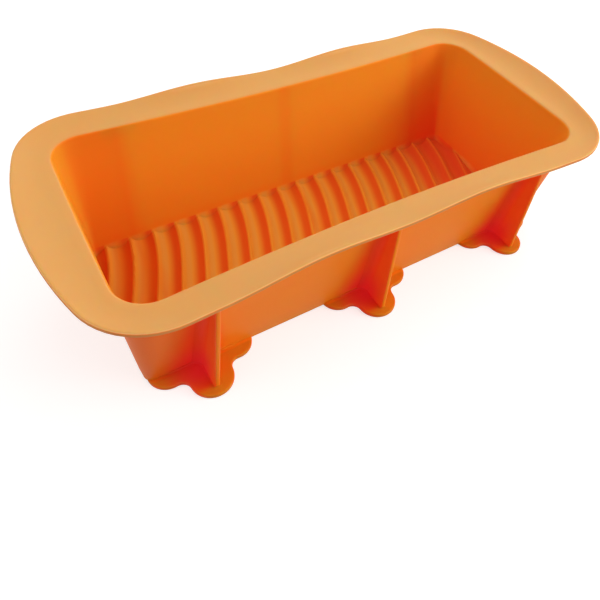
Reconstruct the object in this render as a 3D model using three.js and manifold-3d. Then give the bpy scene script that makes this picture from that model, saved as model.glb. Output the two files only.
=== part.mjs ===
// Silicone loaf pan: one moulding with a drafted tub, a fluted floor and a broad waved rim.
// Three thin buttress fins under each long side of the rim stand on trefoil feet.
// Millimetres, +X along the pan, +Z up, origin at the middle of the underside.
// The moulding is divided into its natural regions, which meet at flat faces.

import * as THREE from 'three';
import { mergeVertices } from 'three/addons/utils/BufferGeometryUtils.js';
import Module from 'manifold-3d';

const wasm = await Module();
wasm.setup();

// Tub, measured inside: the mouth is at the rim's top, and the walls lean in to the floor
const mouthLength = 240;
const mouthWidth = 106.6;
const mouthCorner = 15;
const mouthWaist = 4.1; // how far each long wall bows in at the mouth
const endLean = 9.4;
const sideLean = 13.8;
const endWallArc = 2400; // the end walls are all but flat
const floorCorner = 2.6;
const panHeight = 67;
const wallThickness = 2.8;

// Floor: hollow flutes cross it in a slow double bend, with a narrow crest between each two
const floorWeb = 1.8; // left under the bottom of a flute
const fluteDepth = 3.1;
const crestWidth = 0.8;
const flutePitch = 12.18;
const fluteSway = 11.9; // along the pan, from a flute's middle to its end at either long wall
const swayTurnShare = 0.8; // of the quarter wave that each half of a flute follows
const baseRounding = 1.6;

// Rim: a thin flange that lifts outwards, in a low wave between the fins and most at the ends
const rimEndWidth = 21.2;
const rimSideWidth = 17.5;
const rimCorner = 34.2;
const rimEndArc = 159;
const rimWaist = 5.6;
const rimThickness = 2.4;
const rimFinLift = 1.7; // of the outer edge over a fin
const rimWaveLift = 2.5; // that the edge gains between two fins
const rimCornerLift = 2.7;
const rimEndLift = 3.8;
const lipRounding = 1.2;
const rimEdgeRounding = 0.9;

// Buttress fins, from the wall to just inside the rim's edge
const finInset = 32.8; // from each end of the mouth to the end fins
const finThickness = 2.4;
const finSetback = 6.6; // of a fin's top from the rim's edge
const finStance = 16.4; // of its bottom from the base of the wall
const finRounding = 0.8;

// Trefoil foot under each fin: two lobes against the wall and a tip past the fin
const footThickness = 2.4;
const lobeRadius = 8.9;
const lobeSpread = 15.3;
const lobeInset = 2.5; // from the wall back to the middle of a lobe
const tipRadius = 9.7;
const tipReach = 3.5; // past the bottom of the fin
const neckRadius = 4.2;
const footRounding = 0.7;

const seatGap = 0.3; // between a fin or foot and the wall and rim that it is moulded to
const cutOverrun = 5;

// Facets
const sideSteps = 12;
const cornerSteps = 7;
const endSteps = 10;
const roundingSteps = 3;
const fluteSteps = 4;
const swaySteps = 10;
const footSteps = 5;
const edgeSteps = 2;
const flangeSteps = 3;

const crestHeight = floorWeb + fluteDepth;
const rimUnderside = panHeight - rimThickness;
const finPitch = mouthLength / 2 - finInset;
const quarterTurn = Math.PI / 2;
const { lerp } = THREE.MathUtils;

// Points at even shares of the way, without the last one, which starts the next stretch
function spread(count, place) {
  return Array.from({ length: count }, (_, step) => place(step / count));
}

function onArc(x, y, radius, angle) {
  return [x + radius * Math.cos(angle), y + radius * Math.sin(angle)];
}

// A rounded rectangle with bowed ends and waisted sides, anticlockwise from the front's middle
function roundedOutline({ length, width, corner, endArc, waist }) {
  const reach = endArc - corner;
  const cornerY = width / 2 - corner;
  const turn = Math.asin(cornerY / reach);
  const endCentre = length / 2 - endArc;
  const cornerX = endCentre + reach * Math.cos(turn);
  const right = [
    ...spread(sideSteps, (share) => [cornerX * share, -width / 2]),
    ...spread(cornerSteps, (share) => onArc(cornerX, -cornerY, corner, lerp(-quarterTurn, -turn, share))),
    ...spread(endSteps, (share) => onArc(endCentre, 0, endArc, lerp(-turn, turn, share))),
    ...spread(cornerSteps, (share) => onArc(cornerX, cornerY, corner, lerp(turn, quarterTurn, share))),
    ...spread(sideSteps, (share) => [cornerX * (1 - share), width / 2]),
  ];
  const left = right.map(([x, y]) => [-x, -y]);
  const bowIn = (x) => 1 - (waist * Math.cos(Math.PI * x / length)) / (width / 2);
  return [...right, ...left].map(([x, y]) => new THREE.Vector2(x, y * bowIn(x)));
}

// The tub's outline at a height, moved outwards by an offset
function tubSize(height, offset) {
  const share = (height - crestHeight) / (panHeight - crestHeight);
  return {
    length: mouthLength - 2 * endLean * (1 - share) + 2 * offset,
    width: mouthWidth - 2 * sideLean * (1 - share) + 2 * offset,
    corner: lerp(floorCorner, mouthCorner, share) + offset,
    endArc: endWallArc + offset,
    waist: mouthWaist * Math.max(share, 0),
  };
}

function rimSize(inset) {
  return {
    length: mouthLength + 2 * (rimEndWidth - inset),
    width: mouthWidth + 2 * (rimSideWidth - inset),
    corner: rimCorner - inset,
    endArc: rimEndArc - inset,
    waist: rimWaist,
  };
}

// How far a long side of an outline lies from the pan's middle, at a place along the pan
function sideReach({ length, width, waist }, x) {
  return width / 2 - waist * Math.cos(Math.PI * x / length);
}

// Rings of points, all at one height or drawn together in a point
function ring(outline, height) {
  return outline.map(({ x, y }) => new THREE.Vector3(x, y, height));
}

function tubRing(height, offset) {
  return ring(roundedOutline(tubSize(height, offset)), height);
}

function pole(height) {
  return tubRing(height, 0).map(() => new THREE.Vector3(0, 0, height));
}

// Closed geometry as a solid that can be cut
function toSolid(geometry) {
  geometry.deleteAttribute('normal');
  geometry.deleteAttribute('uv');
  const merged = mergeVertices(geometry);
  const triangles = [];
  for (let corner = 0; corner < merged.index.count; corner += 3) {
    const [a, b, c] = merged.index.array.slice(corner, corner + 3);
    if (a !== b && b !== c && c !== a) triangles.push(a, b, c);
  }
  return new wasm.Manifold(new wasm.Mesh({
    numProp: 3,
    vertProperties: merged.attributes.position.array,
    triVerts: new Uint32Array(triangles),
  }));
}

// A skin through rings that follow one another round the section: up outside, down inside
function skin(rings) {
  const stations = rings[0].length;
  const lathe = new THREE.LatheGeometry(rings.map((_, row) => new THREE.Vector2(1, row)), stations);
  for (let station = 0; station <= stations; station += 1) {
    rings.forEach((points, row) => {
      const { x, y, z } = points[station % stations];
      lathe.attributes.position.setXYZ(station * rings.length + row, x, y, z);
    });
  }
  return toSolid(lathe);
}

// The whole tub as a solid plug, from under the floor up
function tubPlug(offset, top) {
  return skin([
    pole(-cutOverrun),
    tubRing(-cutOverrun, offset),
    tubRing(crestHeight, offset),
    tubRing(top, offset),
    pole(top),
  ]);
}

function block(length, width, height, x, y, z) {
  return toSolid(new THREE.BoxGeometry(length, width, height).translate(x, y, z));
}

// One hollow flute in the side view, as a circular dip under an open top
function fluteShape(middle) {
  const halfChord = (flutePitch - crestWidth) / 2;
  const radius = (halfChord ** 2 + fluteDepth ** 2) / (2 * fluteDepth);
  const turn = Math.asin(halfChord / radius);
  const shape = new THREE.Shape();
  shape.moveTo(middle + halfChord, crestHeight + cutOverrun);
  shape.lineTo(middle - halfChord, crestHeight + cutOverrun);
  shape.absarc(middle, floorWeb + radius, radius, -quarterTurn - turn, -quarterTurn + turn, false);
  return shape;
}

// How far along the pan a flute is carried, at a distance from the pan's middle line
function sway(y) {
  const reach = tubSize(crestHeight, 0).width / 2;
  const turn = quarterTurn * swayTurnShare;
  return (fluteSway * Math.sin(turn * y / reach)) / Math.sin(turn);
}

// The flutes fill the floor from end to end, and the end walls cut the last ones off
function flutes() {
  const { length, width } = tubSize(crestHeight, 0);
  const eachWay = Math.round((length / 2 + fluteSway) / flutePitch);
  const shapes = Array.from({ length: 2 * eachWay + 1 }, (_, place) =>
    fluteShape((place - eachWay) * flutePitch));
  const cutter = new THREE.ExtrudeGeometry(shapes, {
    depth: width + cutOverrun,
    bevelEnabled: false,
    curveSegments: fluteSteps,
    steps: swaySteps,
  });
  cutter.translate(0, 0, -(width + cutOverrun) / 2).rotateX(quarterTurn);
  const places = cutter.attributes.position;
  for (let point = 0; point < places.count; point += 1) {
    places.setX(point, places.getX(point) + sway(places.getY(point)));
  }
  return toSolid(cutter).intersect(tubPlug(0, panHeight));
}

// Floor slab with a rounded edge below and the flutes cut into it from above
function flutedFloor() {
  const roundings = Array.from({ length: roundingSteps + 1 }, (_, step) => {
    const angle = quarterTurn * step / roundingSteps;
    const inset = baseRounding * (1 - Math.sin(angle));
    return tubRing(baseRounding * (1 - Math.cos(angle)), wallThickness - inset);
  });
  const slab = skin([pole(0), ...roundings, tubRing(crestHeight, wallThickness), pole(crestHeight)]);
  return slab.subtract(flutes());
}

// The four walls in one ring, from the crests to the underside of the rim
function wallRing() {
  const foot = tubRing(crestHeight, wallThickness);
  return skin([
    foot,
    tubRing(rimUnderside, wallThickness),
    tubRing(rimUnderside, 0),
    tubRing(crestHeight, 0),
    foot,
  ]);
}

// Where the long walls end and the end walls with their corners begin
function wallJoint() {
  return mouthLength / 2 - mouthCorner;
}

function longWall(side) {
  const span = block(2 * wallJoint(), mouthWidth, 2 * panHeight, 0, side * mouthWidth / 2, 0);
  return wallRing().intersect(span);
}

function endWall(side) {
  const middle = side * (wallJoint() + mouthLength / 2);
  return wallRing().intersect(block(mouthLength, 2 * mouthWidth, 2 * panHeight, middle, 0, 0));
}

// How far the rim's outer edge rises: least over a fin, more between fins, most at the ends
function rimRise({ x, y }) {
  const { length, width } = rimSize(0);
  const along = Math.abs(x);
  if (along < finPitch) return rimFinLift + rimWaveLift * Math.sin(Math.PI * along / finPitch) ** 2;
  const endShare = (along - finPitch) / (length / 2 - finPitch);
  const rise = lerp(rimCornerLift, rimEndLift, Math.cos(Math.PI * y / width) ** 2);
  return lerp(rimFinLift, rise, Math.sin(quarterTurn * endShare) ** 2);
}

function lifted(points, share) {
  const edge = roundedOutline(rimSize(0));
  return points.map(({ x, y, z }, station) => new THREE.Vector3(x, y, z + share * rimRise(edge[station])));
}

// Rings from the tub out to the rim's edge, which curve up towards it
function flangeFace(seat, edge) {
  return spread(flangeSteps, (share) => {
    const points = seat.map((point, station) => point.clone().lerp(edge[station], share));
    return lifted(points, share ** 2);
  });
}

// The flange's outer edge, rounded from the underside up to the top
function rimEdge() {
  const heights = [rimUnderside + rimEdgeRounding, panHeight - rimEdgeRounding];
  return heights.flatMap((height, half) => Array.from({ length: roundingSteps + 1 }, (_, step) => {
    const angle = quarterTurn * (half - 1 + step / roundingSteps);
    const inset = rimEdgeRounding * (1 - Math.cos(angle));
    return ring(roundedOutline(rimSize(inset)), height + rimEdgeRounding * Math.sin(angle));
  }));
}

// The rounded lip at the mouth, from the top of the flange down to the tub's inner face
function mouthLip() {
  return Array.from({ length: roundingSteps + 1 }, (_, step) => {
    const angle = quarterTurn * step / roundingSteps;
    const height = panHeight - lipRounding * (1 - Math.cos(angle));
    const outline = roundedOutline(tubSize(panHeight, lipRounding * (1 - Math.sin(angle))));
    return ring(outline, height);
  });
}

function rimFlange() {
  const seat = tubRing(rimUnderside, wallThickness);
  const seatTop = tubRing(panHeight, wallThickness);
  const edge = rimEdge();
  return skin([
    ...flangeFace(seat, edge[0]),
    ...edge.map((points) => lifted(points, 1)),
    ...flangeFace(seatTop, edge.at(-1)).reverse(),
    ...mouthLip(),
    tubRing(rimUnderside, 0),
    seat,
  ]);
}

// Outer edge of a fin, at its top under the rim and at its bottom on the foot
function finTop(x) {
  return sideReach(rimSize(0), x) - finSetback;
}

function finBottom() {
  return tubSize(0, wallThickness).width / 2 + finStance;
}

// The tub, its walls and the flange with the clearance that the fins and feet keep from them
function seat() {
  return tubPlug(wallThickness + seatGap, panHeight).add(rimFlange().translate(0, 0, -seatGap));
}

// Flat outline made into a plate along +Z with all its long edges rounded
function roundedPlate(shape, thickness, rounding) {
  const plate = new THREE.ExtrudeGeometry(shape, {
    depth: thickness - 2 * rounding,
    bevelThickness: rounding,
    bevelSize: rounding,
    bevelOffset: -rounding,
    bevelSegments: edgeSteps,
    curveSegments: footSteps,
  });
  return plate.translate(0, 0, rounding);
}

// Upright fin at the back of the pan, trimmed to the wall and to the flange's underside
function fin(x) {
  const height = rimUnderside - footThickness;
  const overLean = (finTop(x) - finBottom()) * cutOverrun / height;
  const root = sideReach(tubSize(crestHeight, 0), x);
  const shape = new THREE.Shape([
    new THREE.Vector2(root, footThickness - cutOverrun),
    new THREE.Vector2(finBottom() - overLean, footThickness - cutOverrun),
    new THREE.Vector2(finTop(x) + overLean, rimUnderside + cutOverrun),
    new THREE.Vector2(root, rimUnderside + cutOverrun),
  ]);
  const plate = roundedPlate(shape, finThickness, finRounding);
  plate.translate(0, 0, -finThickness / 2).rotateX(quarterTurn).rotateZ(quarterTurn);
  const top = rimUnderside + rimFinLift;
  const span = block(finThickness, 2 * mouthWidth, top - footThickness, x, 0, (top + footThickness) / 2);
  return toSolid(plate.translate(x, 0, 0)).intersect(span).subtract(seat());
}

// Foot plate at the back of the pan: three round lobes joined by hollow necks, all tangent
function foot(x) {
  const lobeY = sideReach(tubSize(footThickness, wallThickness), x) - lobeInset;
  const tipY = finBottom() + tipReach - tipRadius;
  const lobe = new THREE.Vector2(lobeSpread, lobeY);
  const tip = new THREE.Vector2(0, tipY);
  const span = lobe.distanceTo(tip);
  const tipToNeck = tipRadius + neckRadius;
  const lobeToNeck = lobeRadius + neckRadius;
  const along = (tipToNeck ** 2 - lobeToNeck ** 2 + span ** 2) / (2 * span);
  const across = Math.sqrt(tipToNeck ** 2 - along ** 2);
  const way = lobe.clone().sub(tip).divideScalar(span);
  const neck = tip.clone().addScaledVector(way, along);
  neck.addScaledVector(new THREE.Vector2(-way.y, way.x), across);
  const lobeTurn = neck.clone().sub(lobe).angle();
  const tipTurn = neck.clone().sub(tip).angle();

  const root = tubSize(crestHeight, 0).width / 2 - floorCorner;
  const shape = new THREE.Shape();
  shape.moveTo(-lobeSpread - lobeRadius, root);
  shape.lineTo(-lobeSpread - lobeRadius, lobeY);
  shape.absarc(-lobe.x, lobe.y, lobeRadius, Math.PI, Math.PI - lobeTurn, true);
  shape.absarc(-neck.x, neck.y, neckRadius, -lobeTurn, -tipTurn, false);
  shape.absarc(tip.x, tip.y, tipRadius, Math.PI - tipTurn, tipTurn, true);
  shape.absarc(neck.x, neck.y, neckRadius, Math.PI + tipTurn, Math.PI + lobeTurn, false);
  shape.absarc(lobe.x, lobe.y, lobeRadius, lobeTurn, 0, true);
  shape.lineTo(lobeSpread + lobeRadius, root);
  const plate = roundedPlate(shape, footThickness, footRounding);
  return toSolid(plate.translate(x, 0, 0)).subtract(seat());
}

// Satin orange silicone rubber
function silicone() {
  return new THREE.MeshStandardMaterial({ color: '#e0701d', roughness: 0.42, metalness: 0 });
}

function named(name, solid) {
  const { vertProperties, triVerts } = solid.getMesh();
  const geometry = new THREE.BufferGeometry();
  geometry.setAttribute('position', new THREE.BufferAttribute(vertProperties, 3));
  geometry.setIndex(new THREE.BufferAttribute(triVerts, 1));
  geometry.computeVertexNormals();
  const mesh = new THREE.Mesh(geometry, silicone());
  mesh.name = name;
  return mesh;
}

// The front of the pan is its back turned half round
function buttresses(side, turn) {
  const row = new THREE.Group();
  row.rotation.z = turn;
  [-1, 0, 1].forEach((place) => {
    const end = ['left', 'middle', 'right'][1 + place * Math.cos(turn)];
    const x = place * finPitch;
    row.add(named(`fin_${side}_${end}`, fin(x)));
    row.add(named(`foot_${side}_${end}`, foot(x)));
  });
  return row;
}

const pan = new THREE.Group();
pan.add(named('rim_flange', rimFlange()));
pan.add(named('long_wall_front', longWall(-1)));
pan.add(named('long_wall_back', longWall(1)));
pan.add(named('end_wall_left', endWall(-1)));
pan.add(named('end_wall_right', endWall(1)));
pan.add(named('fluted_floor', flutedFloor()));
pan.add(buttresses('front', Math.PI));
pan.add(buttresses('back', 0));

export default pan;
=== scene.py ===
import math

import bmesh
import bpy
from mathutils import Matrix, Vector


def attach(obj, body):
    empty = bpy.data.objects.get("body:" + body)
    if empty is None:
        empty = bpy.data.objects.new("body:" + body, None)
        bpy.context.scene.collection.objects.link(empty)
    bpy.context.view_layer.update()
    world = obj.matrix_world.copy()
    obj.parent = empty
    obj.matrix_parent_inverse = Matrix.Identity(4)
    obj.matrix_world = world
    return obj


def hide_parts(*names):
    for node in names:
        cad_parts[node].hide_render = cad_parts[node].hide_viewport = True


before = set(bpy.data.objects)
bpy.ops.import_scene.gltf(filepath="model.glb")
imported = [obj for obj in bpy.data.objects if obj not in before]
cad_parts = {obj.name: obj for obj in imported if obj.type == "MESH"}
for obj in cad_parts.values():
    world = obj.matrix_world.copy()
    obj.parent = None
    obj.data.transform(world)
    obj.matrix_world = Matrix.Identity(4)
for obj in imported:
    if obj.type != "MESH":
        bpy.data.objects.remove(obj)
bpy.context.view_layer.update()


# Camera: close above the near left corner of the pan, looking along it and down into the tub.
# The frame is the lower left part of a larger view, whose middle is given in the frame's pixels.
eye = Vector((-0.15050, -0.20942, 0.26728))
heading, dip, tilt = 0.66555, 0.66565, 0.13714
focus, middle_x, middle_y, frame_side = 673.66, 355.0, 145.0, 600
SENSOR = 36

ahead = Vector((math.sin(heading) * math.cos(dip), math.cos(heading) * math.cos(dip), -math.sin(dip)))
level = ahead.cross(Vector((0, 0, 1))).normalized()
upward = level.cross(ahead)
right = level * math.cos(tilt) + upward * math.sin(tilt)
above = upward * math.cos(tilt) - level * math.sin(tilt)

view = bpy.data.cameras.new("camera")
view.sensor_width = SENSOR
view.lens = SENSOR * focus / frame_side
view.shift_x = (frame_side / 2 - middle_x) / frame_side
view.shift_y = (middle_y - frame_side / 2) / frame_side
view.clip_start = 0.01
camera = bpy.data.objects.new("camera", view)
bpy.context.collection.objects.link(camera)
camera.matrix_world = Matrix.Translation(eye) @ Matrix((right, above, -ahead)).transposed().to_4x4()
bpy.context.scene.camera = camera


# Table: a wide plain white top, with soft lamps over it and a pale room around it.
# Seen directly or in gloss it is white, and the pan's shadow stays on it.
class Socket:
    """A node's output, on which sums are written as sums"""

    def __init__(self, nodes, link):
        self.nodes = nodes
        self.link = link

    def maths(self, operation, *values):
        return self.nodes.node("ShaderNodeMath", dict(operation=operation), values)

    def __add__(self, other):
        return self.maths("ADD", self, other)

    def __radd__(self, other):
        return self.maths("ADD", other, self)

    def __sub__(self, other):
        return self.maths("SUBTRACT", self, other)

    def __rsub__(self, other):
        return self.maths("SUBTRACT", other, self)

    def __mul__(self, other):
        return self.maths("MULTIPLY", self, other)

    def __rmul__(self, other):
        return self.maths("MULTIPLY", other, self)

    def __truediv__(self, other):
        return self.maths("DIVIDE", self, other)

    def __pow__(self, other):
        return self.maths("POWER", self, other)

    def __abs__(self):
        return self.maths("ABSOLUTE", self)

    def cosine(self):
        return self.maths("COSINE", self)

    def sine(self):
        return self.maths("SINE", self)

    def fraction(self):
        return self.maths("FRACT", self)

    def nearest(self):
        return self.maths("ROUND", self)

    def least(self, other):
        return self.maths("MINIMUM", self, other)

    def most(self, other):
        return self.maths("MAXIMUM", self, other)

    def rise(self, low, high):
        """0 below low, 1 above high, and a soft step between them"""
        settings = dict(interpolation_type="SMOOTHSTEP")
        values = {"Value": self, "From Min": low, "From Max": high}
        return self.nodes.node("ShaderNodeMapRange", settings, values)

    def fall(self, low, high):
        return 1 - self.rise(low, high)


class Nodes:
    """The nodes of a material or of the world"""

    def __init__(self, tree):
        self.tree = tree

    def node(self, kind, settings=None, values=(), output=0):
        node = self.tree.nodes.new(kind)
        for name, value in (settings or {}).items():
            setattr(node, name, value)
        for name, value in values.items() if isinstance(values, dict) else enumerate(values):
            self.put(node.inputs[name], value)
        return Socket(self, node.outputs[output])

    def put(self, target, value):
        if isinstance(value, Socket):
            self.tree.links.new(value.link, target)
        else:
            target.default_value = value

    def shown(self):
        """1 where the camera, gloss or a clear piece shows the surface, and 0 where it only lights"""
        path = self.tree.nodes.new("ShaderNodeLightPath")
        rays = (path.outputs[f"Is {kind} Ray"] for kind in ("Camera", "Glossy", "Transmission"))
        seen, glossed, passed = (Socket(self, ray) for ray in rays)
        return seen.most(glossed).most(passed)

    def parts(self, vector):
        """The x, y and z of a vector"""
        apart = self.tree.nodes.new("ShaderNodeSeparateXYZ")
        self.put(apart.inputs["Vector"], vector)
        return [Socket(self, part) for part in apart.outputs]

    def noise(self, spot, scale, detail=2.0, roughness=0.5):
        values = {"Vector": spot, "Scale": scale, "Detail": detail, "Roughness": roughness}
        return self.node("ShaderNodeTexNoise", dict(noise_dimensions="3D"), values)

    def blend(self, share, first, second):
        """A colour between two others"""
        first_colour, second_colour, blended = 6, 7, 2
        values = {"Factor": share, first_colour: first, second_colour: second}
        return self.node("ShaderNodeMix", dict(data_type="RGBA"), values, blended)

    def bump(self, height, distance, strength):
        values = {"Height": height, "Distance": distance, "Strength": strength}
        return self.node("ShaderNodeBump", None, values)


class Finish(Nodes):
    """One material with a Principled surface"""

    def __init__(self, name):
        self.material = bpy.data.materials.new(name)
        self.material.use_nodes = True
        super().__init__(self.material.node_tree)
        self.surface = self.tree.nodes["Principled BSDF"]

    def set(self, **values):
        for name, value in values.items():
            self.put(self.surface.inputs[name.replace("_", " ")], value)


def deselect():
    if bpy.context.object and bpy.context.object.mode != "OBJECT":
        bpy.ops.object.mode_set(mode="OBJECT")
    bpy.ops.object.select_all(action="DESELECT")


below_pan, table_glow = 0.0002, 0.68
deselect()
bpy.ops.mesh.primitive_plane_add(size=12, location=(0, 0, -below_pan))
table = bpy.context.object
table.name = "table"
bpy.ops.object.transform_apply(location=True, rotation=True, scale=True)
white = Finish("table_white")
white.set(Base_Color=(0.5, 0.5, 0.5, 1), Roughness=0.9, Specular_IOR_Level=0.1)
white.set(Emission_Color=(1, 1, 1, 1), Emission_Strength=white.shown() * table_glow)
table.data.materials.append(white.material)

room = bpy.data.worlds.new("room")
room.use_nodes = True
bpy.context.scene.world = room
sky = Nodes(room.node_tree)
sky.tree.nodes.remove(sky.tree.nodes["Background"])
soft = sky.node("ShaderNodeBackground", None, {"Color": (1.0, 0.92, 0.86, 1), "Strength": 0.52})
plain = sky.node("ShaderNodeBackground", None, {"Color": (1, 1, 1, 1), "Strength": 1.0})
chosen = sky.node("ShaderNodeMixShader", None, (sky.shown(), soft, plain))
sky.put(sky.tree.nodes["World Output"].inputs["Surface"], chosen)

# Each lamp's name, place in metres, side in metres and power in watts; all point at the pan.
pan_middle = Vector((0, 0, 0.03))
for name, place, side, power in (
    ("lamp_above", (0.1, 0.1, 1.2), 1.5, 1.6),
    ("lamp_right", (0.85, -0.45, 0.75), 0.6, 1.9),
    ("lamp_low", (1.0, -0.65, 0.45), 0.5, 4.4),
    ("lamp_front", (0.7, -0.9, 0.5), 0.5, 2.0),
    ("lamp_behind", (0.65, 0.8, 0.75), 0.8, 3.7),
    ("lamp_left", (-0.9, 0.1, 0.9), 0.7, 2.4),
):
    light = bpy.data.lights.new(name, "AREA")
    light.shape = "RECTANGLE"
    light.size = light.size_y = side
    light.energy = power
    lamp = bpy.data.objects.new(name, light)
    bpy.context.collection.objects.link(lamp)
    place = Vector(place)
    aim = (pan_middle - place).to_track_quat("-Z", "Y").to_matrix().to_4x4()
    lamp.matrix_world = Matrix.Translation(place) @ aim

bpy.context.scene.view_settings.view_transform = "Standard"


# Tub and rim: the body of the pan, one skin of satin orange silicone poured in a mould.
# It runs from the flat underside up the drafted walls, under and over the waved flange,
# round the lip and down inside to the floor, where the flutes lie. Lengths are in millimetres.
MM = 0.001
STATIONS = dict(side=24, corner=12, end=16)
RINGS = dict(round=5, wall=9, lip=6, inside=10)
UNDER_FLANGE = (0.3, 0.42, 0.54, 0.66, 0.78, 0.9)
OVER_FLANGE = (0.93, 0.82, 0.7, 0.58, 0.46, 0.34, 0.22, 0.1)
HEIGHT = 67
CREST = 4.9
WALL = 2.8
WALL_ARC = 2400
INSIDE_FOOT = 1.0
MOUTH = dict(length=240, width=106.6, corner=15, waist=4.1)
FLOOR = dict(length=221.2, width=79, corner=2.6)
RIM = dict(length=282.36, width=141.54, corner=34.2, arc=159, waist=5.6)
RIM_RISE = dict(fin=1.7, between_fins=2.5, corner=2.7, end=3.8)
RIM_THICK = 2.4
ROUND = dict(base=1.6, under_rim=2.2, edge=0.8, lip=1.5)
FIN_PITCH = 87.2
FLUTE = dict(pitch=12.18, web=1.8, depth=3.1, crest=0.8, sway=11.9, turn=math.pi / 2 * 0.8)


def steps(count, ends=False):
    return [step / count for step in range(count + (1 if ends else 0))]


def between(low, high, share):
    return low + (high - low) * share


def quarter_turn(count):
    """Sine and cosine at even steps from 0 to a right angle"""
    return [(math.sin(math.pi / 2 * s), math.cos(math.pi / 2 * s)) for s in steps(count, ends=True)]


def rounded_outline(length, width, corner, arc, waist):
    """A rounded rectangle with bowed ends and waisted sides, anticlockwise from the front's middle"""
    reach = arc - corner
    corner_y = width / 2 - corner
    turn = math.asin(corner_y / reach)
    centre = length / 2 - arc
    corner_x = centre + reach * math.cos(turn)
    quarter = math.pi / 2
    points = [(corner_x * s, -width / 2) for s in steps(STATIONS["side"])]
    for s in steps(STATIONS["corner"]):
        angle = -quarter + (quarter - turn) * s
        points.append((corner_x + corner * math.cos(angle), -corner_y + corner * math.sin(angle)))
    for s in steps(STATIONS["end"]):
        angle = turn * (2 * s - 1)
        points.append((centre + arc * math.cos(angle), arc * math.sin(angle)))
    for s in steps(STATIONS["corner"]):
        angle = turn + (quarter - turn) * s
        points.append((corner_x + corner * math.cos(angle), corner_y + corner * math.sin(angle)))
    points += [(corner_x * (1 - s), width / 2) for s in steps(STATIONS["side"])]
    points += [(-x, -y) for x, y in points]
    return [(x, y * (1 - waist * math.cos(math.pi * x / length) / (width / 2))) for x, y in points]


def tub_outline(height, offset):
    share = (height - CREST) / (HEIGHT - CREST)
    return rounded_outline(
        between(FLOOR["length"], MOUTH["length"], share) + 2 * offset,
        between(FLOOR["width"], MOUTH["width"], share) + 2 * offset,
        between(FLOOR["corner"], MOUTH["corner"], share) + offset,
        WALL_ARC + offset,
        MOUTH["waist"] * max(share, 0),
    )


def rim_outline(inset):
    length, width = RIM["length"] - 2 * inset, RIM["width"] - 2 * inset
    return rounded_outline(length, width, RIM["corner"] - inset, RIM["arc"] - inset, RIM["waist"])


def rim_rise(x, y):
    """How far the flange's edge rises: least over a fin, more between fins, most at the ends"""
    along = abs(x)
    if along < FIN_PITCH:
        return RIM_RISE["fin"] + RIM_RISE["between_fins"] * math.sin(math.pi * along / FIN_PITCH) ** 2
    share = (along - FIN_PITCH) / (RIM["length"] / 2 - FIN_PITCH)
    rise = between(RIM_RISE["corner"], RIM_RISE["end"], math.cos(math.pi * y / RIM["width"]) ** 2)
    return between(RIM_RISE["fin"], rise, math.sin(math.pi / 2 * share) ** 2)


rises = [rim_rise(x, y) for x, y in rim_outline(0)]


def ring(outline, height):
    return [Vector((x, y, height)) for x, y in outline]


def rim_edge(inset, height):
    """A ring round the flange's waved edge"""
    edge = ring(rim_outline(inset), height)
    for point, rise in zip(edge, rises):
        point.z += rise
    return edge


def flange(height, share):
    """The flange's under or upper side at a share of the way from the wall to the edge"""
    seat, edge = ring(tub_outline(HEIGHT, WALL), height), ring(rim_outline(ROUND["edge"]), height)
    points = []
    for start, end, rise in zip(seat, edge, rises):
        point = start.lerp(end, share)
        point.z += rise * share**2
        points.append(point)
    return points


def rounded(place):
    return tuple(round(value, 8) for value in place)


def loft(name, rings):
    """A solid drawn ring by ring: a filled ring of points is extruded to each next outline"""
    deselect()
    bpy.ops.mesh.primitive_circle_add(vertices=len(rings[0]), fill_type="NGON")
    piece = bpy.context.object
    piece.name = piece.data.name = name
    last = [place * MM for place in rings[0]]
    for point, place in zip(piece.data.vertices, last):
        point.co = place
    bpy.ops.object.mode_set(mode="EDIT")
    bpy.ops.mesh.select_all(action="SELECT")
    for outline in rings[1:]:
        bpy.ops.mesh.extrude_region_move()
        index = {rounded(place): at for at, place in enumerate(last)}
        last = [place * MM for place in outline]
        mesh = bmesh.from_edit_mesh(piece.data)
        for point in mesh.verts:
            if point.select:
                point.co = last[index[rounded(point.co)]]
        bmesh.update_edit_mesh(piece.data)
    bpy.ops.mesh.select_all(action="SELECT")
    bpy.ops.mesh.normals_make_consistent(inside=False)
    bpy.ops.object.mode_set(mode="OBJECT")
    return piece


under_rim = HEIGHT - RIM_THICK
body_rings = []
for sine, cosine in quarter_turn(RINGS["round"]):
    inset = ROUND["base"] * (1 - sine)
    body_rings.append(ring(tub_outline(0, WALL - inset), ROUND["base"] * (1 - cosine)))
for share in steps(RINGS["wall"])[1:]:
    height = between(ROUND["base"], under_rim - ROUND["under_rim"], share)
    body_rings.append(ring(tub_outline(height, WALL), height))
for sine, cosine in quarter_turn(RINGS["round"]):
    height = under_rim - ROUND["under_rim"] * (1 - sine)
    body_rings.append(ring(tub_outline(height, WALL + ROUND["under_rim"] * (1 - cosine)), height))
body_rings += [flange(under_rim, share) for share in UNDER_FLANGE]
for sine, cosine in quarter_turn(RINGS["round"]):
    body_rings.append(rim_edge(ROUND["edge"] * (1 - sine), under_rim + ROUND["edge"] * (1 - cosine)))
for sine, cosine in quarter_turn(RINGS["round"]):
    body_rings.append(rim_edge(ROUND["edge"] * (1 - cosine), HEIGHT - ROUND["edge"] * (1 - sine)))
body_rings += [flange(HEIGHT, share) for share in OVER_FLANGE]
for sine, cosine in quarter_turn(RINGS["lip"]):
    height = HEIGHT - ROUND["lip"] * (1 - cosine)
    body_rings.append(ring(tub_outline(HEIGHT, ROUND["lip"] * (1 - sine)), height))
for share in steps(RINGS["inside"], ends=True)[1:]:
    height = between(HEIGHT - ROUND["lip"], INSIDE_FOOT, share)
    body_rings.append(ring(tub_outline(height, 0), height))

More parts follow.
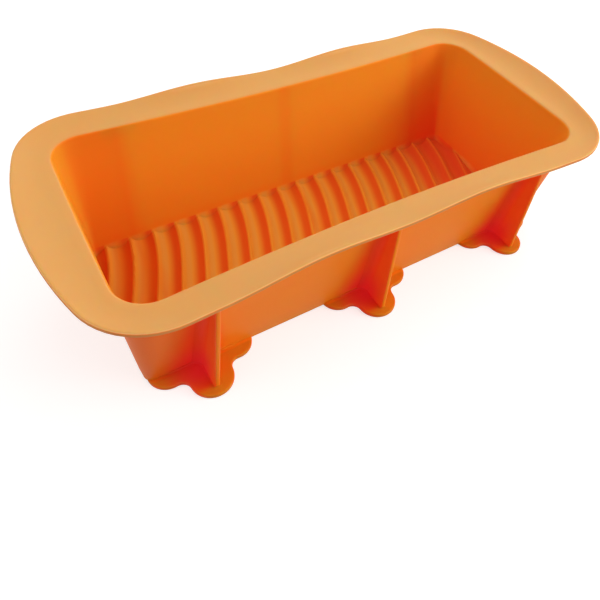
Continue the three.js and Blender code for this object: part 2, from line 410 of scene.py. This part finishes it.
body = loft("pan_body", body_rings)
bpy.ops.object.shade_smooth()
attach(body, "root")
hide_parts("rim_flange", "long_wall_front", "long_wall_back", "end_wall_left", "end_wall_right")

# The silicone's dye, as light, and the light and shade painted over it. Thick places are orange;
# the thin webs are painted crimson, a painted shade and passing light. The rim's top has a painted sheen.
DYES_AND_PAINTED_LIGHT = dict(
    orange=(0.97, 0.29, 0.012, 1),
    cloudy_orange=(0.95, 0.26, 0.010, 1),
    # Inside the tub: the orange painted lower in red, to balance the reddening light in the hollow.
    inner_wall_painted_light=(0.84, 0.305, 0.020, 1),
    # Low inside the tub: painted shade, redder toward the floor.
    low_inside_painted_shade=(0.93, 0.20, 0.010, 1),
    # The flutes: slopes toward +x painted paler, a painted highlight; their lee slopes painted darker red,
    # a painted shade.
    flute=(0.90, 0.35, 0.034, 1),
    flute_lee_painted_shade=(0.84, 0.11, 0.013, 1),
    # A pale tan band in each flute's hollow: a painted sheen.
    flute_trough_sheen=(0.82, 0.36, 0.060, 1),
    # The outer walls: the orange painted a little redder and darker, a painted shade.
    outer_wall_painted_shade=(0.92, 0.20, 0.010, 1),
    # Beyond the end fins: painted shade, darker and redder.
    end_panel_painted_shade=(0.84, 0.15, 0.009, 1),
    # The feet's tops: painted shade, darker than the walls.
    foot=(0.64, 0.21, 0.012, 1),
    # Inside, behind each fin: a narrow band of painted shade.
    fin_band_painted_shade=(0.90, 0.17, 0.010, 1),
    # Where a fin meets the wall: painted shade, deep red.
    fin_root_painted_shade=(0.95, 0.045, 0.010, 1),
    # The fins' faces: painted crimson, a painted shade and light passing through the thin web.
    fin_web=(0.97, 0.098, 0.011, 1),
    # On each fin's lee (-x) side, low on the wall and foot: painted shade, deep crimson.
    crimson=(0.86, 0.032, 0.052, 1),
    # Inside the +x end: painted shade, darker red.
    far_corner_painted_shade=(0.88, 0.065, 0.020, 1),
    # The rim's top: painted paler, a painted sheen, mottled by the film noise.
    rim_top_sheen=(0.655, 0.415, 0.150, 1),
    # The flange's outer side face: painted shade, with a pale painted reflection.
    rim_side_shade_and_reflection=(0.56, 0.28, 0.09, 1),
    # The flange's outer top edge: a pale painted highlight.
    rim_edge=(0.84, 0.60, 0.28, 1),
)
silicone = Finish("silicone_orange")
spot = silicone.node("ShaderNodeTexCoord", output="Object")
x, y, z = (part / MM for part in silicone.parts(spot))
facing = silicone.parts(silicone.node("ShaderNodeNewGeometry", output="Normal"))
face_along, face_up = abs(facing[0]), facing[2]
cloud = silicone.noise(spot, scale=22)
film = silicone.noise(spot, scale=60, detail=3)
grain = silicone.noise(spot, scale=2600, detail=2, roughness=0.6)

# How far a point lies outside the wall, from the same lengths as the wall's own outline.
along, across = abs(x), abs(y)
share = (z - CREST) / (HEIGHT - CREST)
waist = share * MOUTH["waist"] * (x * (math.pi / MOUTH["length"])).cosine()
bend = between(FLOOR["corner"], MOUTH["corner"], share)
past_end = along - between(FLOOR["length"], MOUTH["length"], share) / 2 + bend
past_side = across - between(FLOOR["width"], MOUTH["width"], share) / 2 + waist + bend
beyond = (past_end.most(0.0) ** 2 + past_side.most(0.0) ** 2) ** 0.5
clear = beyond + past_end.most(past_side).least(0.0) - bend - WALL

# How far it lies from the nearest fin, and on which side of it.
from_fin = along.least(abs(along - FIN_PITCH))
offset = x - (x / FIN_PITCH).nearest() * FIN_PITCH
lee_side = offset.fall(-1, 1)

# How far it lies across its flute, from 0 on one crest to 1 on the next.
twist = FLUTE["sway"] / math.sin(FLUTE["turn"])
swayed = x - twist * (y * (FLUTE["turn"] / (FLOOR["width"] / 2))).sine()
phase = (swayed / FLUTE["pitch"] + 0.5).fraction()

# Places on the rim, the tub's inside and its floor. Windows on a face's lean run from -1 to 1.
on_rim = z.rise(HEIGHT - 1.6, HEIGHT - 0.4) * face_up.rise(0.55, 0.95)
edge = clear.rise(9, 10) * z.rise(64, 65.5)
# A painted highlight along the rounding of the flange's outer top edge.
painted_edge_highlight = edge * face_up.rise(0.25, 0.6) * face_up.fall(0.78, 0.90)
# The flange's outer side face, which takes painted shade and a painted reflection.
rim_side_shade_and_reflection = edge * face_up.fall(0.1, 0.4) * face_up.rise(-0.9, -0.5)
inside = clear.fall(-1.8, -1.0)
# Painted shade inside the tub's +x end, where the end wall shades the floor and far corner, fading upward.
far_corner_painted_shade = inside * x.rise(55, 104) * z.fall(4, 60) * (1 - face_along.rise(0.3, 0.9) * 0.5)
# Painted shade in narrow bands on the inner walls behind each fin.
behind_fin_shade = inside * from_fin.fall(1, 6) * (1 - on_rim)
fluted = inside * z.fall(5.2, 6.6)
# Painted shade on each flute's lee slope, rising to the next crest.
lee = phase.rise(0.36, 0.75) * phase.fall(0.88, 0.98)
# Painted sheen in each flute's hollow, just past the crest.
trough_sheen = phase.rise(0.08, 0.20) * phase.fall(0.30, 0.46)

# Places on the outer walls, the fins and the feet. A fin's painted shade and its red emission reach further
# on its lee (-x) side.
skin = clear.rise(-0.6, -0.2) * z.fall(58, 66)
# Painted shade beyond the end fins: on the outer walls and on the inner long walls, not on the end walls'
# inner faces.
end_panel_painted_shade = along.rise(FIN_PITCH - 2, FIN_PITCH + 3) * (1 - on_rim)
end_panel_painted_shade = end_panel_painted_shade * (1 - face_along.rise(0.3, 0.7) * inside)
# The feet's tops, which take a painted shade.
on_foot = skin * clear.rise(0.5, 2) * z.fall(2.6, 3.6)
# The fins' side faces, which take painted shade and passing light.
web = clear.rise(0.3, 3.5) * face_along.rise(0.35, 0.85) * z.fall(60, 66)
low = z.fall(0, 60)
# Painted shade where each fin meets the wall, reaching further low down and on the fin's lee (-x) side.
reach = (from_fin - 1) / (4 + low * 8 + lee_side * (7 + low * 4))
root = skin * reach.fall(0, 1) * (1 - clear.rise(2.5, 5.5) * (1 - on_foot))
root = root * clear.fall(8 + lee_side * 4, 14 + lee_side * 3) * (1 - on_foot * (1 - lee_side) * 0.7)
# Painted shade on each fin's lee (-x) side, low on the wall and the foot.
painted_lee_shade = skin * lee_side * reach.fall(0, 0.95) * clear.fall(5, 15) * z.fall(1, 26) * 0.85
# A faint red emission on the webs, the fin roots and their lee side: painted light standing for light
# passing through the silicone.
painted_glow = (web * 0.75).most(root * (0.4 + lee_side * 0.5) * (1 - on_foot)).most(painted_lee_shade)

# The dye and the painted light and shade are laid one over another, each by how much of it a place takes.
colour = silicone.blend(cloud * 0.5, DYES_AND_PAINTED_LIGHT["orange"], DYES_AND_PAINTED_LIGHT["cloudy_orange"])
for taken, dye in (
    (inside * (1 - on_rim), DYES_AND_PAINTED_LIGHT["inner_wall_painted_light"]),
    (inside * z.fall(3, 13) * 0.5, DYES_AND_PAINTED_LIGHT["low_inside_painted_shade"]),
    (fluted * 0.9, silicone.blend(lee, DYES_AND_PAINTED_LIGHT["flute"], DYES_AND_PAINTED_LIGHT["flute_lee_painted_shade"])),
    (skin * 0.35, DYES_AND_PAINTED_LIGHT["outer_wall_painted_shade"]),
    (fluted * trough_sheen * 0.6, DYES_AND_PAINTED_LIGHT["flute_trough_sheen"]),
    (end_panel_painted_shade * (0.45 + skin * 0.35), DYES_AND_PAINTED_LIGHT["end_panel_painted_shade"]),
    (on_foot * 0.7, DYES_AND_PAINTED_LIGHT["foot"]),
    (behind_fin_shade * 0.28, DYES_AND_PAINTED_LIGHT["fin_band_painted_shade"]),
    (root * 0.9, DYES_AND_PAINTED_LIGHT["fin_root_painted_shade"]),
    (web * 0.7, DYES_AND_PAINTED_LIGHT["fin_web"]),
    (painted_lee_shade, DYES_AND_PAINTED_LIGHT["crimson"]),
    (far_corner_painted_shade * 0.75, DYES_AND_PAINTED_LIGHT["far_corner_painted_shade"]),
    (on_rim * (0.7 + film * 0.1), DYES_AND_PAINTED_LIGHT["rim_top_sheen"]),
    (rim_side_shade_and_reflection * 0.85, DYES_AND_PAINTED_LIGHT["rim_side_shade_and_reflection"]),
    (painted_edge_highlight * 0.7, DYES_AND_PAINTED_LIGHT["rim_edge"]),
):
    colour = silicone.blend(taken, colour, dye)

silicone.set(
    Base_Color=colour,
    Emission_Color=silicone.blend(painted_glow, (0, 0, 0, 1), (0.11, 0.003, 0.002, 1)),
    Emission_Strength=1.0,
    Roughness=0.44 + (film - 0.5) * 0.10 + on_rim * 0.06,
    Normal=silicone.bump(grain, distance=0.00002, strength=0.25),
    Specular_IOR_Level=0.08,
    IOR=1.41,
    Subsurface_Weight=0.7,
    Subsurface_Radius=(1.0, 0.25, 0.1),
    Subsurface_Scale=0.006,
)
body.data.materials.append(silicone.material)


# Fluted floor: the inside of the tub's floor, hollow flutes that cross the pan in a slow
# double bend, each with a narrow crest to the next, and a soft fillet into the walls.
CREST_SOFT = 0.35
SINE_SLOPE = 1.57
FLOOR_FILLET = 0.35
FLOOR_TUCK = 0.8
FLOOR_UNDER = 0.6
FLOOR_SMOOTH = 50
STRAIGHTENS_FROM = 95.0
END_CROWDING = 1.7
FLOOR_STATIONS = dict(middle=260, end=60, across=56, fillet=7)


def sway(y):
    return FLUTE["sway"] * math.sin(FLUTE["turn"] * y / (FLOOR["width"] / 2)) / math.sin(FLUTE["turn"])


def flute_height(along):
    """Height of the floor across the flutes: a hollow arc, then a softened crest to the next"""
    pitch, depth = FLUTE["pitch"], FLUTE["depth"]
    half = (pitch - FLUTE["crest"]) / 2
    radius = (half**2 + depth**2) / (2 * depth)
    soft_from = half - CREST_SOFT
    place = abs((along / pitch + 0.5) % 1 - 0.5) * pitch
    if place <= soft_from:
        return FLUTE["web"] + (radius - math.sqrt(radius**2 - place**2))
    drop = math.sqrt(radius**2 - soft_from**2)
    start, slope = radius - drop, soft_from / drop
    rise, span = depth - start, pitch / 2 - soft_from
    share = min((place - soft_from) / span * max(slope * span / rise / SINE_SLOPE, 1), 1)
    return FLUTE["web"] + start + rise * math.sin(math.pi / 2 * share)


half_length, half_width = FLOOR["length"] / 2, FLOOR["width"] / 2
side_lean = (MOUTH["width"] - FLOOR["width"]) / 2 / (HEIGHT - CREST)
end_lean = (MOUTH["length"] - FLOOR["length"]) / 2 / (HEIGHT - CREST)
side_turn, end_turn = math.pi / 2 - math.atan(side_lean), math.atan(end_lean)

middle_columns = [
    between(-STRAIGHTENS_FROM, STRAIGHTENS_FROM, s) for s in steps(FLOOR_STATIONS["middle"], ends=True)
]
end_columns = [
    between(STRAIGHTENS_FROM, half_length + FLOOR_TUCK, 1 - (1 - s) ** END_CROWDING)
    for s in steps(FLOOR_STATIONS["end"], ends=True)[1:]
]
columns = [-place for place in reversed(end_columns)] + middle_columns + end_columns
fillet_shares = steps(FLOOR_STATIONS["fillet"], ends=True)[1:]
rows = [("wall", 1, -1)] + [("fillet", share, -1) for share in reversed(fillet_shares)]
rows += [("flat", 2 * share - 1, 0) for share in steps(FLOOR_STATIONS["across"], ends=True)]
rows += [("fillet", share, 1) for share in fillet_shares] + [("wall", 1, 1)]


def end_fillet(x, height):
    """The floor's height once its fillet into the leaning end wall is added"""
    touch = height + FLOOR_FILLET * (1 - math.sin(end_turn))
    centre = half_length + end_lean * (touch - CREST) - FLOOR_FILLET * math.cos(end_turn)
    out = min(max(abs(x) - centre, 0), FLOOR_FILLET * math.cos(end_turn))
    return height + FLOOR_FILLET - math.sqrt(FLOOR_FILLET**2 - out**2)


def floor_point(place, row):
    """A point of the floor, its fillet or its tuck into a side wall, with the flutes' bend"""
    kind, share, side = row
    inner = half_width - FLOOR_FILLET
    y = share * inner if kind == "flat" else side * inner
    end_share = max(min((abs(place) - STRAIGHTENS_FROM) / (half_length - STRAIGHTENS_FROM), 1), 0)
    x = place + sway(y) * math.cos(math.pi / 2 * end_share) ** 2
    x = max(min(x, half_length + FLOOR_TUCK), -half_length - FLOOR_TUCK)
    height = end_fillet(x, flute_height(x - sway(y)))
    if kind != "flat":
        touch = height + FLOOR_FILLET * (1 - math.cos(side_turn))
        centre = half_width + side_lean * (touch - CREST) - FLOOR_FILLET * math.sin(side_turn)
        y = side * (centre + FLOOR_FILLET * math.sin(side_turn * share))
        height += FLOOR_FILLET * (1 - math.cos(side_turn * share))
        if kind == "wall":
            y += side * FLOOR_TUCK
    return Vector((x, y, height))


deselect()
bpy.ops.mesh.primitive_grid_add(x_subdivisions=len(columns) - 1, y_subdivisions=len(rows) - 1, size=1)
floor = bpy.context.object
floor.name = floor.data.name = "fluted_floor_skin"
for at, point in enumerate(floor.data.vertices):
    point.co = floor_point(columns[at % len(columns)], rows[at // len(columns)]) * MM
bpy.ops.object.mode_set(mode="EDIT")
bpy.ops.mesh.select_all(action="SELECT")
bpy.ops.mesh.extrude_region_move()
mesh = bmesh.from_edit_mesh(floor.data)
for point in mesh.verts:
    if point.select:
        point.co.z = FLOOR_UNDER * MM
bmesh.update_edit_mesh(floor.data)
bpy.ops.mesh.select_all(action="SELECT")
bpy.ops.mesh.normals_make_consistent(inside=False)
bpy.ops.object.mode_set(mode="OBJECT")
bpy.ops.object.shade_smooth_by_angle(angle=math.radians(FLOOR_SMOOTH))
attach(floor, "root")
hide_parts("fluted_floor")


def denser(name, scatter):
    """The same silicone where less light passes through it"""
    copy = silicone.material.copy()
    copy.name = name
    copy.node_tree.nodes["Principled BSDF"].inputs["Subsurface Weight"].default_value = scatter
    return copy


floor.data.materials.append(denser("silicone_orange_floor", 0.12))


# Buttress fins: six thin upright webs, moulded with the walls, that hold the rim's long
# sides out. Each flares softly into the wall, into the flange above and into its foot.
FIN = dict(thick=2.4, setback=6.6, stance=16.4, edge=0.8)
FLARE = dict(wall=4.2, foot=0.7, rim=1.8, tuck=0.8, back=2.5, beyond=0.6, spread=13, fade=9)
FIN_STEPS = dict(wall=18, flare=8, web=8, edge=4, foot=7, rim=6, height=12)
FIN_SUNK = dict(bottom=0.8, foot=0.4, rim=0.9)
FIN_CLEAR = 0.3
FOOT_THICK = 2.4
HAIR = 0.01
SMOOTH_UNDER = 40


def side_reach(length, width, waist, x):
    return width / 2 - waist * math.cos(math.pi * x / length)


def wall_reach(height, offset, x):
    share = (height - CREST) / (HEIGHT - CREST)
    length = between(FLOOR["length"], MOUTH["length"], share) + 2 * offset
    width = between(FLOOR["width"], MOUTH["width"], share) + 2 * offset
    return side_reach(length, width, MOUTH["waist"] * max(share, 0), x)


def fin_top(x):
    return side_reach(RIM["length"], RIM["width"], RIM["waist"], x) - FIN["setback"]


fin_bottom = wall_reach(0, WALL, 0) + FIN["stance"]


def flare(distance, radius):
    """How much a fillet adds at a distance from the face that it runs into"""
    inside = radius - min(max(distance, 0), radius)
    return radius - math.sqrt(radius**2 - inside**2)


def fin_half(height, x, side):
    """One side of a fin's section: along the wall, round the flare and out to the edge"""
    foot_flare = flare(height - FOOT_THICK, FLARE["foot"])
    half = FIN["thick"] / 2 + max(foot_flare, flare(under_rim - height, FLARE["rim"]))
    outer = between(fin_bottom, fin_top(x), (height - FOOT_THICK) / (under_rim - FOOT_THICK))
    low = height < FOOT_THICK + FLARE["foot"] + HAIR
    ends_at = FLARE["spread"] + FLARE["fade"] if low else half + FLARE["wall"] + FLARE["beyond"]
    places = [(wall_reach(height, WALL, x + side * ends_at) - FLARE["back"], ends_at)]
    for share in steps(FIN_STEPS["wall"]):
        across = between(ends_at, half + FLARE["wall"], share)
        fade = min(max((across - FLARE["spread"]) / FLARE["fade"], 0), 1)
        hold = 1 - fade**2 * (3 - 2 * fade) if low else 0
        wall = wall_reach(height, WALL, x + side * across)
        places.append((wall + foot_flare * hold - FLARE["tuck"] * (1 - hold), across))
    for sine, cosine in quarter_turn(FIN_STEPS["flare"]):
        across = half + FLARE["wall"] * (1 - sine)
        wall = wall_reach(height, WALL, x + side * across) + foot_flare * low
        places.append((wall + FLARE["wall"] * (1 - cosine), across))
    start, corner = places[-1][0], outer - FIN["edge"]
    places += [(between(start, corner, share), half) for share in steps(FIN_STEPS["web"])[1:]]
    for sine, cosine in quarter_turn(FIN_STEPS["edge"]):
        places.append((corner + FIN["edge"] * sine, half - FIN["edge"] * (1 - cosine)))
    return places


def fin_rings(x):
    """Sections of a fin, from inside its foot up to inside the flange"""
    foot_turn, rim_turn = quarter_turn(FIN_STEPS["foot"]), reversed(quarter_turn(FIN_STEPS["rim"]))
    foot_rows = [FOOT_THICK + FLARE["foot"] * (1 - cosine) for sine, cosine in foot_turn]
    rim_rows = [under_rim - FLARE["rim"] * (1 - cosine) for sine, cosine in rim_turn]
    heights = [FIN_SUNK["bottom"], FOOT_THICK - FIN_SUNK["foot"]] + foot_rows + [foot_rows[-1] + FIN_CLEAR]
    heights += [between(heights[-1], rim_rows[0], s) for s in steps(FIN_STEPS["height"])[1:]]
    heights += rim_rows + [under_rim + FIN_SUNK["rim"]]
    rings = []
    for height in heights:
        outline = [(x + across, place) for place, across in fin_half(height, x, 1)]
        outline += [(x - across, place) for place, across in reversed(fin_half(height, x, -1))]
        rings.append(ring(outline, height))
    return rings


def turned(piece, name, across, out):
    """A copy with its own mesh on another side of the pan, turned half round or mirrored"""
    copy = piece.copy()
    copy.data = piece.data.copy()
    copy.name = copy.data.name = name
    bpy.context.collection.objects.link(copy)
    copy.data.transform(Matrix.Diagonal((across, out, 1, 1)))
    if across * out < 0:
        copy.data.flip_normals()
    return copy


thin = denser("silicone_orange_thin", 0.35)
ROUND_THE_PAN = {
    0: (("back_middle", 1, 1), ("front_middle", -1, -1)),
    FIN_PITCH: (("back_right", 1, 1), ("back_left", -1, 1), ("front_left", -1, -1), ("front_right", 1, -1)),
}


def six(name, node, rings_at):
    """The piece at the back's middle and right end, and its copies round the pan"""
    for x, sides in ROUND_THE_PAN.items():
        first_side = sides[0][0]
        first = loft(f"{name}_{first_side}", rings_at(x))
        bpy.ops.object.shade_smooth_by_angle(angle=math.radians(SMOOTH_UNDER))
        first.data.materials.append(thin)
        for side, across, out in sides:
            piece = first if side == first_side else turned(first, f"{name}_{side}", across, out)
            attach(piece, "root")
            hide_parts(f"{node}_{side}")


six("fin_web", "fin", fin_rings)


# Feet: a flat trefoil plate under each fin, two lobes against the wall and a tip beyond
# the fin, with rounded edges. They stand on the table with the pan's underside.
FOOT = dict(lobe=8.9, spread=15.3, inset=2.5, tuck=1.5, tip=9.7, reach=3.5, neck=4.2, round=0.7)
FOOT_STEPS = dict(lobe=14, neck=10, tip=12, edge=5)


def arc(centre, radius, start, end, count):
    angles = [between(start, end, share) for share in steps(count, ends=True)]
    return [(centre.x + radius * math.cos(angle), centre.y + radius * math.sin(angle)) for angle in angles]


def foot_outline(x, inset):
    """Half a lobe, the neck and half the tip as tangent arcs, and the same mirrored"""
    wall = wall_reach(FOOT_THICK, WALL, x)
    lobe = Vector((FOOT["spread"], wall - FOOT["inset"]))
    tip = Vector((0, fin_bottom + FOOT["reach"] - FOOT["tip"]))
    span = (tip - lobe).length
    tip_to_neck, lobe_to_neck = FOOT["tip"] + FOOT["neck"], FOOT["lobe"] + FOOT["neck"]
    along = (tip_to_neck**2 - lobe_to_neck**2 + span**2) / (2 * span)
    way = (lobe - tip) / span
    neck = tip + way * along + Vector((-way.y, way.x)) * math.sqrt(tip_to_neck**2 - along**2)
    lobe_turn = math.atan2(neck.y - lobe.y, neck.x - lobe.x)
    tip_turn = math.atan2(neck.y - tip.y, neck.x - tip.x)
    first_turn = math.asin((FOOT["inset"] - FOOT["tuck"]) / FOOT["lobe"])
    half = [(lobe.x + FOOT["lobe"] - inset, wall - FOOT["tuck"])]
    half += arc(lobe, FOOT["lobe"] - inset, first_turn, lobe_turn, FOOT_STEPS["lobe"])
    from_lobe, to_tip = lobe_turn + math.pi, tip_turn + math.pi
    half += arc(neck, FOOT["neck"] + inset, from_lobe, to_tip, FOOT_STEPS["neck"])[1:]
    half += arc(tip, FOOT["tip"] - inset, tip_turn, math.pi / 2, FOOT_STEPS["tip"])[1:]
    outline = [(x + across, place) for across, place in half]
    return outline + [(x - across, place) for across, place in reversed(half[:-1])]


def foot_rings(x):
    edge, turn = FOOT["round"], quarter_turn(FOOT_STEPS["edge"])
    low = [ring(foot_outline(x, edge * (1 - sine)), edge * (1 - cosine)) for sine, cosine in turn]
    high = [
        ring(foot_outline(x, edge * (1 - cosine)), FOOT_THICK - edge * (1 - sine)) for sine, cosine in turn
    ]
    return low + high


six("foot_plate", "foot", foot_rings)
